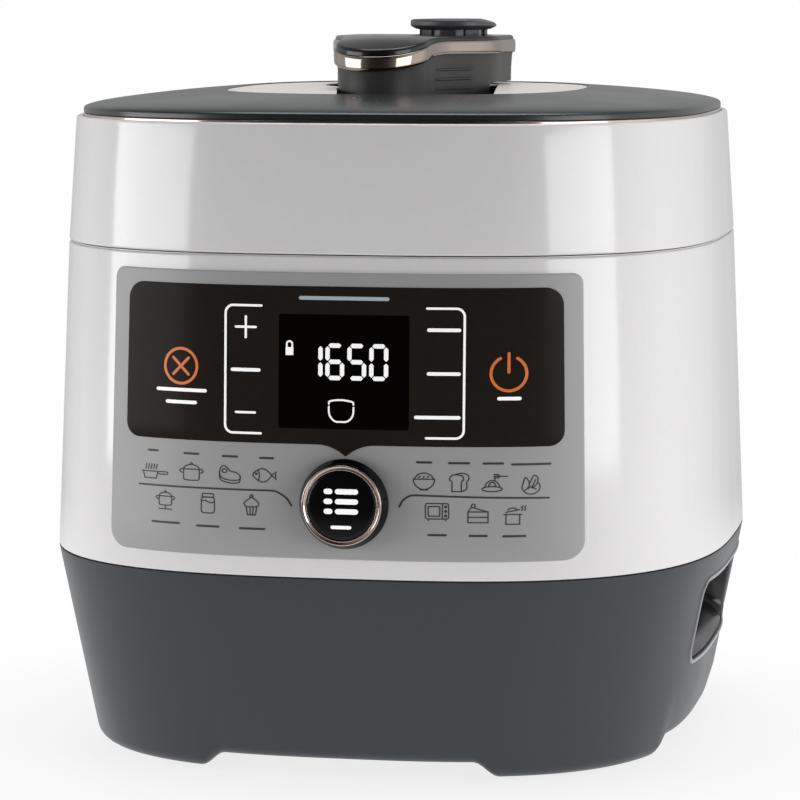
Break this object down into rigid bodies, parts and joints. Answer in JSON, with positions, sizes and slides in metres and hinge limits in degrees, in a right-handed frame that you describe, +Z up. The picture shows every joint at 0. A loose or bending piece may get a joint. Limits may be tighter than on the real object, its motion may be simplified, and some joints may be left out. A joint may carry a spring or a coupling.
{
  "type": "electric pressure cooker",
  "caption": "Countertop electric pressure cooker with hinged lid, rotary lid handle with steam valve, front display panel with push dial, and removable pot.",
  "frame": {"origin": "floor level, under the middle of the body's bounding box", "axes": "+Z up, -Y towards the control panel, +X to the right seen from the front"},
  "size_m": [0.31, 0.351, 0.3304],
  "materials": {
    "base_grey": "fine matt grey moulding",
    "white_shell": "glossy white",
    "cover_black": "satin black",
    "rose_metal": "brushed, rose tinted",
    "panel_grey": "silver grey satin film",
    "black_glass": "gloss black with printed symbols",
    "bronze_metal": "polished rose bronze",
    "smoked_chrome": "smoked chrome",
    "black_gloss": "high gloss black",
    "handle_grey": "satin dark grey",
    "grip_black": "satin black",
    "black_plastic": "fine matt black",
    "rubber": "matt",
    "steel": "plain",
    "pressed_steel": "brushed",
    "cast_aluminium": "cast",
    "pot_aluminium": "satin",
    "element_steel": "heat darkened",
    "brass": "plain",
    "circuit_board": "solder mask",
    "board_parts": "moulded",
    "cable": "flat",
    "ceramic": "glazed",
    "nylon": "natural",
    "silicone": "translucent",
    "clear_plastic": "clear",
    "red_pin": "satin red"
  },
  "bodies": {
    "root": {"base_shell": "base_grey", "bottom_cover": "black_plastic", "rubber_feet": "rubber", "bottom_screws": "steel", "body_shell": "white_shell", "upper_collar": "black_plastic", "outer_pot": "pressed_steel", "support_posts": "steel", "heating_plate": "cast_aluminium", "heating_element": "element_steel", "plate_posts": "steel", "inner_pot": "pot_aluminium", "sensor_bracket": "steel", "sensor_spring": "steel", "thermal_fuse": "ceramic", "power_board": "circuit_board", "power_board_parts": "board_parts", "inlet_socket": "black_plastic", "inlet_pins": "brass", "control_board": "circuit_board", "display_module": "black_plastic", "touch_springs": "steel", "ribbon_cable": "cable", "control_panel": "panel_grey", "display_glass": "black_glass", "encoder_body": "steel", "grip_cup_left": "grip_black", "grip_cup_right": "grip_black", "hinge_bracket": "black_plastic", "hinge_pin": "steel"},
    "sensor": {"thermostat_sensor": "cast_aluminium"},
    "dew_cup": {"dew_cup": "clear_plastic"},
    "encoder_plunger": {"encoder_plunger": "nylon"},
    "dial": {"encoder_shaft": "steel", "dial_knob": "black_plastic", "dial_ring": "bronze_metal", "dial_cap": "black_gloss"},
    "lid": {"lid_ring": "white_shell", "lid_trim_ring": "bronze_metal", "lid_cover": "cover_black", "lid_plate": "rose_metal", "lid_liner": "black_plastic", "lid_bushing": "nylon", "lid_hinge_arm": "black_plastic"},
    "lock": {"lock_hub": "cast_aluminium", "hub_clip": "steel", "hub_screws": "steel", "inner_lid": "pressed_steel", "sealing_ring": "silicone", "vent_pipe": "steel", "steam_shield": "pressed_steel", "handle_base": "handle_grey", "handle_band": "smoked_chrome", "handle_cap": "black_gloss", "handle_screws": "steel"},
    "valve_weight": {"valve_weight": "steel"},
    "valve_cap": {"valve_cap": "black_plastic"},
    "float": {"float_pin": "red_pin", "float_gasket": "silicone"}
  },
  "joints": [
    {"name": "lid_hinge", "type": "hinge", "parent": "root", "child": "lid", "pos_m": [0, 0.1685, 0.233], "axis": [-1, 0, 0], "range_deg": [0, 85]},
    {"name": "lock_turn", "type": "hinge", "parent": "lid", "child": "lock", "pos_m": [0, 0, 0.29], "axis": [0, 0, 1], "range_deg": [0, 30]},
    {"name": "valve_lift", "type": "slide", "parent": "lock", "child": "valve_weight", "axis": [0, 0, 1], "range_m": [0, 0.004]},
    {"name": "valve_turn", "type": "hinge", "parent": "valve_weight", "child": "valve_cap", "pos_m": [0.01704, 0.0226, 0.325], "axis": [0, 0, 1], "range_deg": [0, 60]},
    {"name": "float_lift", "type": "slide", "parent": "lock", "child": "float", "axis": [0, 0, 1], "range_m": [0, 0.003]},
    {"name": "dial_press", "type": "slide", "parent": "root", "child": "encoder_plunger", "axis": [0, 1, 0], "range_m": [0, 0.0008], "stiffness_N_per_m": 1500, "springref_m": -0.001},
    {"name": "dial_turn", "type": "hinge", "parent": "encoder_plunger", "child": "dial", "pos_m": [0.0045, -0.17, 0.1255], "axis": [0, 1, 0], "continuous": true},
    {"name": "sensor_press", "type": "slide", "parent": "root", "child": "sensor", "axis": [0, 0, -1], "range_m": [0, 0.002], "stiffness_N_per_m": 400, "springref_m": -0.003, "deforming": ["sensor_spring"]},
    {"name": "dew_cup_slide", "type": "slide", "parent": "root", "child": "dew_cup", "axis": [0, 1, 0], "range_m": [0, 0.04]}
  ]
}
